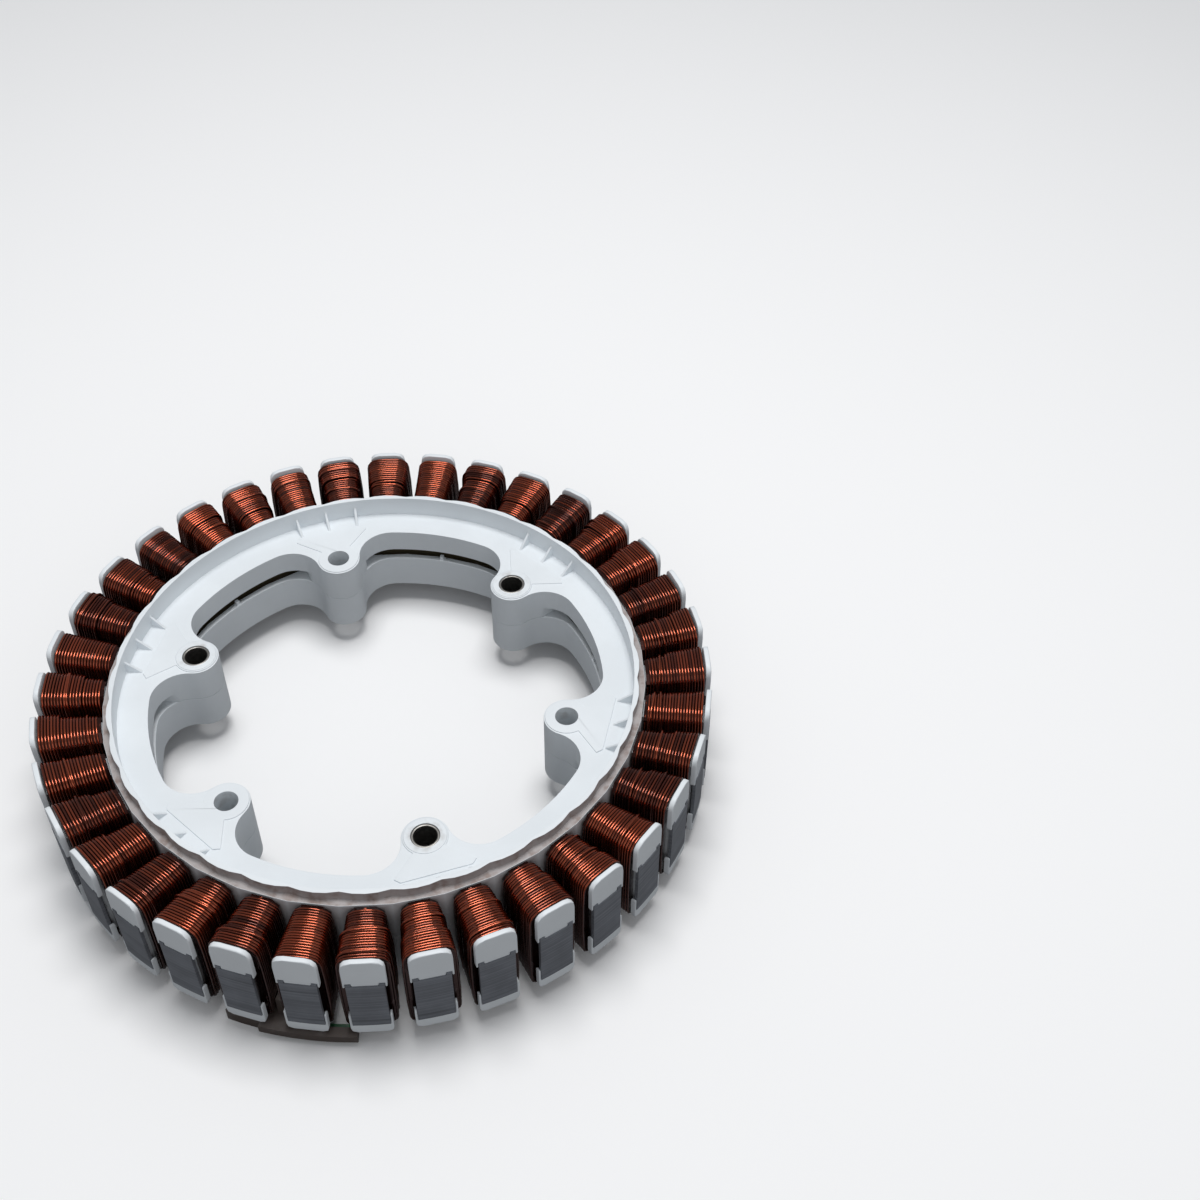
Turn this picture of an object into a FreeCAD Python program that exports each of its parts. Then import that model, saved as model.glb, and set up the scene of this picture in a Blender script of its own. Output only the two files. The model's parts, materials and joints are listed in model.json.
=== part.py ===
import FreeCAD, Part
import math
import os

from FreeCAD import Vector

# Wound stator of an outer-rotor direct-drive motor: a toothed ring of steel laminations held
# between two moulded insulators, with one coil on each tooth. Millimetres, +Z along the axis.
# Z = 0 is the face of the six bosses that seats on the machine, and +Y runs through a plain boss.

# Laminated core
pole_count = 36
first_pole_angle = 5.0
stack_bottom = 1.5
stack_height = 27.0
yoke_depth = 7.0
yoke_outer_radius = 104.0
tooth_width = 7.0
tip_radius = 132.0
tip_width = 13.4
tip_neck_depth = 2.4
tip_edge_depth = 1.3
locating_notch_width = 9.8
locating_notch_depth = 1.2

# Bosses and sleeves
boss_count = 6
boss_circle_radius = 76.5
boss_radius = 9.0
boss_fillet_radius = 13.0
first_boss_angle = 30.0
plain_hole_radius = 4.5
sleeve_inner_radius = 4.4
sleeve_outer_radius = 5.45
sleeve_recess = 0.2

# Moulded ring
core_setback = 7.5
inner_wall = 2.5
seam_height = 16.0
slot_height = 6.5
slot_end_angle = 8.5
plate_thickness = 3.0
floor_thickness = 1.5
rim_height = 9.2
rim_wall = 1.9
rim_setback = 2.2
scallop_height = 0.7
scallop_facets = 4
coil_flange_wall = 1.5
coil_flange_height = 8.0
core_clearance = 0.1
pad_height = 0.5
pad_outer_radius = 94.5
pad_half_angle = 9.5
pad_corner = 1.8
pad_corner_angle = 1.4
collar_radius = 8.0
collar_height = 0.3
gusset_spread = 7.3
gusset_thickness = 1.1
gusset_length = 6.5
seam_pip_width = 1.6
seam_pip_inset = 0.4
seam_pip_height = 2.0

# Tooth bobbins
liner_wall = 0.9
saddle_height = 4.5
lower_saddle_height = 1.0
cap_width = 16.4
cap_height = 13.0
cap_corner_radius = 4.6
cap_leg_length = 5.0
cap_setback = 0.3
cap_corner_facets = 3
lower_cap_height = 5.5
lower_cap_corner_radius = 3.0
lower_cap_leg_length = 6.5
lower_cap_corner_facets = 2

# Coils, as the outline of the wound wire
coil_clearance = 0.1
coil_inner_build = 2.7
coil_outer_build = 4.3
coil_top_inner_build = 4.0
coil_top_outer_build = 6.8
coil_bottom_inner_build = 2.6
coil_bottom_outer_build = 3.7
coil_corner = 3.4
coil_step_build = 0.7
coil_step_places = (0.0, 0.42, 0.58, 0.0, 0.36, 0.66)

# Crossover wires under the ring, one level for each phase
phases = ("u", "v", "w")
wire_width = 1.0
wire_gap = 0.05
track_setback = 3.3
guide_wall_gap = 3.6
guide_wall_thickness = 1.2
guide_wall_depth = 3.5
wire_notch_offset = 5.2
wire_notch_width = 2.6
coil_flange_depth = 4.0

# Both housings under the coils hang below the lower caps
housing_seat_gap = 0.1
housing_reach = 1.4
housing_length = 24.0

# Rotor position sensor
sensor_angle = -120.0
sensor_start_angle = -9.0
sensor_end_angle = 2.0
sensor_depth = 6.4
sensor_arm_overhang = 1.4
sensor_arm_width = 4.0
sensor_arm_start_angle = -3.0
sensor_arm_end_angle = 12.6
sensor_arm_depth = 3.9
sensor_finger_width = 3.2
sensor_finger_height = 8.5
sensor_finger_length = 9.5
sensor_finger_setback = 4.5
sensor_wall = 1.2
pocket_start_angle = -2.0
pocket_end_wall_angle = 0.6
pocket_reach = 2.0
board_thickness = 1.2
board_gap = 0.1
board_gap_angle = 0.1
chip_size = (3.0, 4.0, 1.0)
chip_angles = (2.6, 9.6)
socket_width = 13.0
socket_height = 3.8
socket_length = 9.0
pin_inset = 1.0
pin_width = 0.64
pin_pitch = 2.5
pin_count = 5

# Phase terminal block
block_angle = -170.0
block_half_angle = 9.0
block_depth = 6.4
tab_width = 6.3
tab_thickness = 0.8
tab_length = 15.0
tab_inset = 2.0
tab_pitch = 10.0
cavity_width = 8.0
cavity_height = 3.8
cavity_length = 11.0

# Sizes that follow from the ones above
yoke_inner_radius = yoke_outer_radius - yoke_depth
inner_radius = yoke_inner_radius - core_setback
coil_flange_radius = yoke_outer_radius + coil_flange_wall
rim_outer_radius = coil_flange_radius - rim_setback
track_radius = coil_flange_radius - track_setback
guide_wall_radius = track_radius - guide_wall_gap
stack_top = stack_bottom + stack_height
plate_top = stack_top + plate_thickness
floor_bottom = stack_bottom - floor_thickness
rim_top = plate_top + rim_height
coil_flange_top = stack_top + coil_flange_height
tooth_half_angle = math.degrees(math.asin(tooth_width / 2 / yoke_outer_radius))
ring_bore_radius = yoke_outer_radius + core_clearance
ring_bore_face = ring_bore_radius * math.cos(math.radians(180.0 / pole_count - tooth_half_angle))
rim_inner_radius = rim_outer_radius - rim_wall
cap_front_radius = tip_radius - cap_setback
cap_top = stack_top + cap_height
lower_cap_bottom = stack_bottom - lower_cap_height
tip_back_radius = tip_radius - tip_neck_depth
saddle_top = stack_top + saddle_height
lower_saddle_bottom = stack_bottom - lower_saddle_height
saddle_width = tooth_width + 2 * liner_wall
slot_top = seam_height + slot_height
pole_step = 360.0 / pole_count
boss_step = 360.0 / boss_count
under_coils = lower_cap_bottom - housing_seat_gap
housing_outer_radius = tip_back_radius + housing_reach
housing_inner_radius = housing_outer_radius - housing_length
sensor_middle_angle = (sensor_start_angle + sensor_end_angle) / 2
sensor_arm_outer_radius = tip_radius + sensor_arm_overhang
sensor_arm_inner_radius = sensor_arm_outer_radius - sensor_arm_width
sensor_finger_outer_radius = housing_outer_radius - sensor_finger_setback
pocket_inner_radius = sensor_arm_inner_radius - pocket_reach
pocket_outer_radius = sensor_arm_outer_radius - sensor_wall
pocket_end_angle = sensor_arm_end_angle - pocket_end_wall_angle
board_top = under_coils - sensor_wall - board_gap
UP = Vector(0, 0, 1)
CENTRE = Vector(0, 0, 0)


def polar(radius, angle, z=0.0):
    turn = math.radians(angle)
    return Vector(radius * math.cos(turn), radius * math.sin(turn), z)


def turned(shape, angle):
    copy = shape.copy()
    copy.rotate(CENTRE, UP, angle)
    return copy


def fused(shapes):
    first, rest = shapes[0], shapes[1:]
    return first.multiFuse(rest).removeSplitter() if rest else first


def arc(start, middle, end):
    return Part.Arc(start, middle, end).toShape()


def line(start, end):
    return Part.LineSegment(start, end).toShape()


def circle(radius, z=0.0):
    return Part.Wire([Part.makeCircle(radius, Vector(0, 0, z))])


def prism(outer, holes, bottom, top):
    """Raise a flat outline at Z = 0, with its holes, from bottom to top."""
    face = Part.makeFace([outer] + list(holes), "Part::FaceMakerBullseye")
    solid = face.extrude(Vector(0, 0, top - bottom))
    solid.translate(Vector(0, 0, bottom))
    return solid


def block(x_range, y_range, z_range):
    low = Vector(x_range[0], y_range[0], z_range[0])
    return Part.makeBox(x_range[1] - x_range[0], y_range[1] - y_range[0], z_range[1] - z_range[0], low)


def ring_sector(radii, angles, z_range):
    """A stretch of a ring between two radii and two angles."""
    inner, outer = radii
    start, end = angles
    middle = (start + end) / 2
    wire = Part.Wire([
        line(polar(inner, start), polar(outer, start)),
        arc(polar(outer, start), polar(outer, middle), polar(outer, end)),
        line(polar(outer, end), polar(inner, end)),
        arc(polar(inner, end), polar(inner, middle), polar(inner, start)),
    ])
    return prism(wire, [], *z_range)


def pole_angles():
    return [first_pole_angle + pole_step * number for number in range(pole_count)]


def boss_angles():
    return [first_boss_angle + boss_step * number for number in range(boss_count)]


def sleeved_boss_angles():
    return boss_angles()[0::2]


def plain_boss_angles():
    return boss_angles()[1::2]


def lobed_outline():
    """The ring's inner edge: a circle that swells inwards round each boss."""
    fillet_centre_radius = inner_radius - boss_fillet_radius
    reach = boss_radius + boss_fillet_radius
    spread = math.degrees(math.acos(
        (fillet_centre_radius ** 2 + boss_circle_radius ** 2 - reach ** 2)
        / (2 * fillet_centre_radius * boss_circle_radius)))

    def side(angle, sign):
        boss = polar(boss_circle_radius, angle)
        centre = polar(fillet_centre_radius, angle + sign * spread)
        on_boss = boss + (centre - boss) * (boss_radius / reach)
        on_ring = polar(inner_radius, angle + sign * spread)
        towards = (on_boss - centre).normalize() + (on_ring - centre).normalize()
        return on_boss, centre + towards.normalize() * boss_fillet_radius, on_ring

    edges = []
    for angle in boss_angles():
        before = side(angle, -1)
        after = side(angle, 1)
        following = side(angle + boss_step, -1)
        nose = polar(boss_circle_radius - boss_radius, angle)
        edges.append(arc(before[2], before[1], before[0]))
        edges.append(arc(before[0], nose, after[0]))
        edges.append(arc(after[0], after[1], after[2]))
        edges.append(arc(after[2], polar(inner_radius, angle + boss_step / 2), following[2]))
    return Part.Wire(edges)


def scalloped_outline(valley_radius, crest_radius):
    """A ring of shallow bulges, one to each pole."""
    points = []
    for angle in pole_angles():
        for number in range(scallop_facets):
            share = number / scallop_facets
            radius = crest_radius - (crest_radius - valley_radius) * (2 * share - 1) ** 2
            points.append(polar(radius, angle + pole_step * (share - 0.5)))
    return closed_polygon(points)


def flats(face_radius, first_flat_angle=first_pole_angle):
    """A ring with one flat to each pole, measured to the middle of a flat."""
    corner_radius = face_radius / math.cos(math.radians(pole_step / 2))
    return closed_polygon([polar(corner_radius, first_flat_angle + pole_step * (number + 0.5))
                           for number in range(pole_count)])


def closed_polygon(points):
    return Part.makePolygon(points + points[:1])


def core_tooth_edges(angle):
    """One tooth of a lamination, from the yoke's edge round the tip and back."""
    half = tooth_width / 2
    tip_half = tip_width / 2
    root = math.sqrt(yoke_outer_radius ** 2 - half ** 2)
    edge_radius = math.sqrt(tip_radius ** 2 - tip_half ** 2)
    points = [Vector(root, -half, 0), Vector(tip_back_radius, -half, 0),
              Vector(edge_radius - tip_edge_depth, -tip_half, 0), Vector(edge_radius, -tip_half, 0)]
    mirrored = [Vector(point.x, -point.y, 0) for point in reversed(points)]
    edges = [line(first, second) for first, second in zip(points, points[1:])]
    edges.append(arc(points[-1], Vector(tip_radius, 0, 0), mirrored[0]))
    edges += [line(first, second) for first, second in zip(mirrored, mirrored[1:])]
    return [turned(edge, angle) for edge in edges]


def laminated_core():
    edges = []
    for angle in pole_angles():
        edges += core_tooth_edges(angle)
        edges.append(line(polar(yoke_outer_radius, angle + tooth_half_angle),
                          polar(yoke_outer_radius, angle + pole_step - tooth_half_angle)))
    stack = prism(Part.Wire(edges), [circle(yoke_inner_radius)], stack_bottom, stack_top)
    notch = block((tip_radius - tip_edge_depth, tip_radius + 1),
                  (-locating_notch_width / 2, locating_notch_width / 2),
                  (stack_top - locating_notch_depth, stack_top + 1))
    return stack.cut(Part.makeCompound([turned(notch, angle) for angle in pole_angles()]))


def tooth_space(bottom, top):
    """The room that one core tooth takes through an insulator."""
    half = tooth_width / 2
    return block((yoke_inner_radius, tip_back_radius + 1), (-half, half), (bottom, top))


def cap(bottom, top, corner, leg, facets):
    """The outer flange of one bobbin: a plate with rounded corners that straddles the tooth's tip."""
    half = cap_width / 2
    inner = tip_width / 2 + core_clearance
    sign = 1 if top > bottom else -1
    outline = [(inner, bottom), (inner, bottom - sign * leg), (half, bottom - sign * leg)]
    for step in range(facets + 1):
        turn = math.radians(90.0 * step / facets)
        outline.append((half - corner + corner * math.cos(turn), top - sign * corner * (1 - math.sin(turn))))
    outline += [(-y, z) for y, z in reversed(outline)]
    face = Part.Face(closed_polygon([Vector(tip_back_radius, y, z) for y, z in outline]))
    return face.extrude(Vector(cap_front_radius - tip_back_radius, 0, 0))


def liner(z_range):
    """The channel that keeps the wire off one tooth, before the tooth is cut from it."""
    half = saddle_width / 2
    return block((ring_bore_radius, tip_back_radius), (-half, half), z_range)


def upper_bobbin():
    tongue_half = locating_notch_width / 2
    tongue = block((tip_radius - tip_edge_depth, cap_front_radius), (-tongue_half, tongue_half),
                   (stack_top - locating_notch_depth, stack_top))
    body = liner((seam_height, saddle_top)).cut(tooth_space(seam_height, stack_top))
    flange = cap(stack_top, cap_top, cap_corner_radius, cap_leg_length, cap_corner_facets)
    return fused([body, flange, tongue])


def lower_bobbin():
    body = liner((lower_saddle_bottom, seam_height)).cut(tooth_space(stack_bottom, seam_height))
    return fused([body, cap(stack_bottom, lower_cap_bottom, lower_cap_corner_radius, lower_cap_leg_length,
                           lower_cap_corner_facets)])


def boss_pad(angle, bottom, top):
    """The faint raised pad round a boss, widening towards the rim."""
    near = pad_outer_radius - pad_corner
    inside = pad_half_angle - pad_corner_angle
    corners = [polar(boss_circle_radius, 0), polar(near, -pad_half_angle), polar(pad_outer_radius, -inside),
               polar(pad_outer_radius, inside), polar(near, pad_half_angle)]
    pad = prism(closed_polygon(corners), [], bottom, top)
    disc = Part.makeCylinder(boss_radius - pad_height, top - bottom, Vector(boss_circle_radius, 0, bottom))
    return turned(pad.fuse(disc), angle)


def gusset(angle):
    """A triangular rib between the plate and the rim."""
    foot = rim_inner_radius - gusset_length
    wall = rim_inner_radius + rim_wall / 2
    profile = Part.makePolygon([Vector(foot, -gusset_thickness / 2, plate_top),
                                Vector(wall, -gusset_thickness / 2, plate_top),
                                Vector(wall, -gusset_thickness / 2, rim_top - scallop_height),
                                Vector(rim_inner_radius, -gusset_thickness / 2, rim_top - scallop_height),
                                Vector(foot, -gusset_thickness / 2, plate_top)])
    return turned(Part.Face(profile).extrude(Vector(0, gusset_thickness, 0)), angle)


def boss_holes():
    height = rim_top - floor_bottom + 2
    cuts = [Part.makeCylinder(plain_hole_radius, height, polar(boss_circle_radius, angle, floor_bottom - 1))
            for angle in plain_boss_angles()]
    cuts += [Part.makeCylinder(sleeve_outer_radius, height, polar(boss_circle_radius, angle, floor_bottom - 1))
             for angle in sleeved_boss_angles()]
    return Part.makeCompound(cuts)


def seam_slots():
    """The six long gaps left between the two mouldings, one between each pair of bosses."""
    cutters = []
    for angle in boss_angles():
        start = angle + slot_end_angle
        end = angle + boss_step - slot_end_angle
        cutters.append(ring_sector((inner_radius - boss_fillet_radius, inner_radius + inner_wall + 1),
                                   (start, end), (seam_height - 1, slot_top)))
    return Part.makeCompound(cutters)


def upper_insulator():
    lobes = lobed_outline()
    rim = scalloped_outline(rim_outer_radius - scallop_height, rim_outer_radius + scallop_height / 2)
    flange = flats(coil_flange_radius)
    core_seat = flats(ring_bore_face, first_pole_angle + pole_step / 2)
    windows = Part.makeCompound([turned(tooth_space(seam_height, stack_top), angle) for angle in pole_angles()])
    skirt = prism(flats(inner_radius + inner_wall), [lobes], seam_height, plate_top).cut(seam_slots())
    outer_wall = prism(flange, [core_seat], seam_height, stack_top).cut(windows)
    pieces = [
        prism(flange, [lobes], stack_top, plate_top),
        skirt,
        outer_wall,
        prism(flange, [circle(rim_inner_radius)], plate_top, coil_flange_top),
        prism(rim, [circle(rim_inner_radius)], coil_flange_top, rim_top),
    ]
    for angle in boss_angles():
        pieces.append(boss_pad(angle, plate_top, plate_top + pad_height))
        pieces += [gusset(angle + turn) for turn in (-gusset_spread, 0.0, gusset_spread)]
    for angle in sleeved_boss_angles():
        pieces.append(Part.makeCylinder(collar_radius, collar_height + pad_height,
                                        polar(boss_circle_radius, angle, plate_top)))
    bobbin = upper_bobbin()
    pieces += [turned(bobbin, angle) for angle in pole_angles()]
    return fused(pieces).cut(boss_holes())


def lower_insulator():
    lobes = lobed_outline()
    flange = flats(coil_flange_radius)
    core_seat = flats(ring_bore_face, first_pole_angle + pole_step / 2)
    windows = Part.makeCompound([turned(tooth_space(stack_bottom, seam_height), angle) for angle in pole_angles()])
    half_notch = wire_notch_width / 2
    notch = block((ring_bore_radius - 1, coil_flange_radius + 1),
                  (wire_notch_offset - half_notch, wire_notch_offset + half_notch),
                  (floor_bottom - coil_flange_depth - 1, floor_bottom))
    notches = Part.makeCompound([turned(notch, angle) for angle in pole_angles()])
    pip = block((inner_radius + seam_pip_inset, inner_radius + inner_wall - seam_pip_inset),
                (-seam_pip_width / 2, seam_pip_width / 2),
                (seam_height - 1, seam_height + seam_pip_height))
    outer_wall = prism(flange, [core_seat], floor_bottom - coil_flange_depth, seam_height)
    pieces = [
        prism(flange, [lobes], floor_bottom, stack_bottom),
        prism(flats(inner_radius + inner_wall), [lobes], floor_bottom, seam_height),
        outer_wall.cut(windows).cut(notches),
        prism(flats(guide_wall_radius + guide_wall_thickness), [flats(guide_wall_radius)],
              floor_bottom - guide_wall_depth, floor_bottom),
    ]
    pieces += [turned(pip, angle + boss_step / 2) for angle in boss_angles()]
    bobbin = lower_bobbin()
    pieces += [turned(bobbin, angle) for angle in pole_angles()]
    return fused(pieces).cut(boss_holes())


def sleeve(angle):
    """A steel tube that takes the clamping load of a mounting bolt."""
    top = plate_top + pad_height + collar_height - sleeve_recess
    foot = polar(boss_circle_radius, angle, floor_bottom)
    tube = Part.makeCylinder(sleeve_outer_radius, top - floor_bottom, foot)
    return tube.cut(Part.makeCylinder(sleeve_inner_radius, top - floor_bottom, foot))


def coil_section(radius, share, extra):
    """Corners of the winding's outline across a tooth, at a share of its length from the yoke."""
    side = coil_inner_build + (coil_outer_build - coil_inner_build) * share + extra
    over = coil_top_inner_build + (coil_top_outer_build - coil_top_inner_build) * share + extra
    under = coil_bottom_inner_build + (coil_bottom_outer_build - coil_bottom_inner_build) * share
    half = saddle_width / 2 + side
    high = saddle_top + over
    low = lower_saddle_bottom - under
    outline = [
        (half - coil_corner * 0.9, high),
        (half, high - coil_corner),
        (half, low + coil_corner * 0.8),
        (half - coil_corner * 0.6, low),
    ]
    outline += [(-y, z) for y, z in reversed(outline)]
    return [Vector(radius, y, z) for y, z in outline]


def flat_sided_loft(first, last):
    """A loft between two outlines with parallel sides, so that every face comes out flat."""
    corners = list(zip(first, last))
    faces = [Part.Face(closed_polygon(first)), Part.Face(closed_polygon(last))]
    for (near, far), (next_near, next_far) in zip(corners, corners[1:] + corners[:1]):
        faces.append(Part.Face(closed_polygon([near, next_near, next_far, far])))
    return Part.makeSolid(Part.makeShell(faces))


def coil(step_place):
    """One tooth's winding, as the closed outline of its turns. Some coils gain a layer partway."""
    start = coil_flange_radius + coil_clearance
    end = tip_back_radius - coil_clearance
    length = end - start
    spans = [(0.0, step_place, 0.0), (step_place, 1.0, coil_step_build)] if step_place else [(0.0, 1.0, 0.0)]
    lengths = []
    for first, last, extra in spans:
        sections = [coil_section(start + length * share, share, extra) for share in (first, last)]
        lengths.append(flat_sided_loft(*sections))
    half = saddle_width / 2 + coil_clearance
    tunnel = block((start - 1, end + 1), (-half, half),
                   (lower_saddle_bottom - coil_clearance, saddle_top + coil_clearance))
    return fused(lengths).cut(tunnel)


def crossover(start_angle, end_angle, level):
    """One wire from a coil's notch, along the ring, to the next coil of that phase."""
    half = wire_width / 2
    inner = track_radius - half
    outer = track_radius + half
    middle = (start_angle + end_angle) / 2

    def beside(radius, angle, sideways):
        along = polar(1.0, angle)
        return along * radius + Vector(-along.y, along.x, 0) * sideways

    outline = [
        beside(coil_flange_radius, start_angle, half), beside(coil_flange_radius, start_angle, -half),
        beside(inner, start_angle, -half), polar(inner, middle), beside(inner, end_angle, half),
        beside(coil_flange_radius, end_angle, half), beside(coil_flange_radius, end_angle, -half),
        beside(outer, end_angle, -half), polar(outer, middle), beside(outer, start_angle, half),
    ]
    top = floor_bottom - wire_gap - level * (wire_width + wire_gap)
    return prism(closed_polygon(outline), [], top - wire_width, top)


def phase_crossovers(phase_number):
    notch = math.degrees(math.asin(wire_notch_offset / coil_flange_radius))
    shift = math.degrees(math.asin((wire_width / 2 + wire_gap) / coil_flange_radius))
    coils = pole_angles()[phase_number::len(phases)]
    wires = [crossover(first + notch + shift, second + notch - shift, phase_number)
             for first, second in zip(coils, coils[1:])]
    return Part.makeCompound(wires)


def sensor_housing():
    """Moulded carrier that clips under the coils and reaches up between two of them."""
    bottom = under_coils - sensor_depth
    body = ring_sector((housing_inner_radius, housing_outer_radius), (sensor_start_angle, sensor_end_angle),
                       (bottom, under_coils))
    arm = ring_sector((sensor_arm_inner_radius, sensor_arm_outer_radius),
                      (sensor_arm_start_angle, sensor_arm_end_angle),
                      (under_coils - sensor_arm_depth, under_coils))
    finger = block((sensor_finger_outer_radius - sensor_finger_length, sensor_finger_outer_radius),
                   (-sensor_finger_width / 2, sensor_finger_width / 2),
                   (under_coils, under_coils + sensor_finger_height))
    socket_top = under_coils - sensor_wall
    socket = block((housing_inner_radius - 1, housing_inner_radius + socket_length),
                   (-socket_width / 2, socket_width / 2), (socket_top - socket_height, socket_top))
    pocket = ring_sector((pocket_inner_radius, pocket_outer_radius), (pocket_start_angle, pocket_end_angle),
                         (bottom - 1, under_coils - sensor_wall))
    cuts = Part.makeCompound([turned(socket, sensor_middle_angle), pocket])
    return turned(fused([body, arm, finger]).cut(cuts), sensor_angle)


def sensor_board():
    board = ring_sector((pocket_inner_radius + board_gap, pocket_outer_radius - board_gap),
                        (pocket_start_angle + board_gap_angle, pocket_end_angle - board_gap_angle),
                        (board_top - board_thickness, board_top))
    return turned(board, sensor_angle)


def sensor_chips():
    radial, across, deep = chip_size
    under_board = board_top - board_thickness
    middle = (pocket_inner_radius + pocket_outer_radius) / 2
    chip = block((middle - radial / 2, middle + radial / 2), (-across / 2, across / 2),
                 (under_board - deep, under_board))
    return Part.makeCompound([turned(chip, sensor_angle + turn) for turn in chip_angles])


def sensor_pins():
    middle = under_coils - sensor_wall - socket_height / 2
    first = -pin_pitch * (pin_count - 1) / 2
    pins = [block((housing_inner_radius + pin_inset, housing_inner_radius + socket_length),
                  (first + pin_pitch * number - pin_width / 2, first + pin_pitch * number + pin_width / 2),
                  (middle - pin_width / 2, middle + pin_width / 2)) for number in range(pin_count)]
    return turned(Part.makeCompound(pins), sensor_angle + sensor_middle_angle)


def tab_offsets():
    return [tab_pitch * (number - 1) for number in range(len(phases))]


def terminal_block():
    body = ring_sector((housing_inner_radius, housing_outer_radius), (-block_half_angle, block_half_angle),
                       (under_coils - block_depth, under_coils))
    middle = under_coils - block_depth / 2
    cavities = [block((housing_inner_radius - 3, housing_inner_radius + cavity_length),
                      (offset - cavity_width / 2, offset + cavity_width / 2),
                      (middle - cavity_height / 2, middle + cavity_height / 2)) for offset in tab_offsets()]
    tabs = [tab(offset) for offset in tab_offsets()]
    return turned(body.cut(Part.makeCompound(cavities)).cut(Part.makeCompound(tabs)), block_angle)


def tab(offset):
    middle = under_coils - block_depth / 2
    start = housing_inner_radius + tab_inset
    return block((start, start + tab_length), (offset - tab_width / 2, offset + tab_width / 2),
                 (middle - tab_thickness / 2, middle + tab_thickness / 2))


def phase_terminals():
    return turned(Part.makeCompound([tab(offset) for offset in tab_offsets()]), block_angle)


def build_nodes():
    nodes = {
        "laminated_core": laminated_core(),
        "upper_insulator": upper_insulator(),
        "lower_insulator": lower_insulator(),
    }
    for name, angle in zip(("right", "left", "front"), sleeved_boss_angles()):
        nodes["bolt_sleeve_" + name] = sleeve(angle)
    windings = {place: coil(place) for place in set(coil_step_places)}
    for number, angle in enumerate(pole_angles()):
        phase = phases[number % len(phases)]
        place = coil_step_places[number % len(coil_step_places)]
        name = "coil_{}_{:02d}".format(phase, number // len(phases) + 1)
        nodes[name] = turned(windings[place], angle)
    for number, phase in enumerate(phases):
        nodes["crossovers_" + phase] = phase_crossovers(number)
    nodes["sensor_housing"] = sensor_housing()
    nodes["sensor_board"] = sensor_board()
    nodes["sensor_chips"] = sensor_chips()
    nodes["sensor_pins"] = sensor_pins()
    nodes["terminal_block"] = terminal_block()
    nodes["phase_terminals"] = phase_terminals()
    return nodes


def main():
    os.makedirs("parts", exist_ok=True)
    for name, shape in build_nodes().items():
        shape.exportStep(os.path.join("parts", name + ".step"))


main()
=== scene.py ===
import json
import math
import random

import bmesh
import bpy
from bpy.props import FloatProperty, FloatVectorProperty, IntProperty, PointerProperty
from mathutils import Matrix, Vector, noise

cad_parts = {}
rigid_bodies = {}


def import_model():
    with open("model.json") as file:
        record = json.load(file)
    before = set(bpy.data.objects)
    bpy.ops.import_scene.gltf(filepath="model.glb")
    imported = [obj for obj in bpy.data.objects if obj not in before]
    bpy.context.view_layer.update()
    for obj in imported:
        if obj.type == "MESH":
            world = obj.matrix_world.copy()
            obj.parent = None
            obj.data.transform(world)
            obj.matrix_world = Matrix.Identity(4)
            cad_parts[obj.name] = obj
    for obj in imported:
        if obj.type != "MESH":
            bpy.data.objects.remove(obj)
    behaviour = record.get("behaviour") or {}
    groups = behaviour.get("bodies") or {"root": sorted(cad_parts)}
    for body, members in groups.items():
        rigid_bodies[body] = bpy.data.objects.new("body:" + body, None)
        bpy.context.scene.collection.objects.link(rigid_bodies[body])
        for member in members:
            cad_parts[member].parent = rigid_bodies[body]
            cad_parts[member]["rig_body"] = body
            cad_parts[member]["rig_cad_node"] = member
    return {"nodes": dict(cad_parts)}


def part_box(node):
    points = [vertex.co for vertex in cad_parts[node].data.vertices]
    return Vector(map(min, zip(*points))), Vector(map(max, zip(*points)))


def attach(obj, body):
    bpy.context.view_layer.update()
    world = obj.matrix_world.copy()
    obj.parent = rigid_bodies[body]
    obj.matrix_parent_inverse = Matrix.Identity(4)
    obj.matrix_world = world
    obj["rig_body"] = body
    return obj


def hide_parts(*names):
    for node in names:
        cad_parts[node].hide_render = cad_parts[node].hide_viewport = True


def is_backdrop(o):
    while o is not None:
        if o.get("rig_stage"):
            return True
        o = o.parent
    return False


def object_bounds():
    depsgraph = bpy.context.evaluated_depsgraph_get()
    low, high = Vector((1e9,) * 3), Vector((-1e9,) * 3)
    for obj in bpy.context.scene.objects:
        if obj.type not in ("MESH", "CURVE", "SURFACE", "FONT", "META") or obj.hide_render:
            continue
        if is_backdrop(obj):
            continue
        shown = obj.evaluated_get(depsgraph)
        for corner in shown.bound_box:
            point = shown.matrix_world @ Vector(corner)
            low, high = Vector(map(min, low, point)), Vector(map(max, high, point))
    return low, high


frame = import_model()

bl_info = {
    "name": "Wound stator",
    "version": (1, 0, 0),
    "blender": (4, 5, 0),
    "location": "3D View > Sidebar > Stator",
    "description": "Dresses the construction of a wound stator: wire, mouldings, laminations and steel",
    "category": "Object",
}

PHASES = ("u", "v", "w")


def colour(name, description, default):
    return FloatVectorProperty(name=name, description=description, default=default,
                               subtype="COLOR", size=3, min=0, max=1)


def length(name, description, default):
    return FloatProperty(name=name, description=description, default=default, unit="LENGTH", precision=5)


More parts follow.
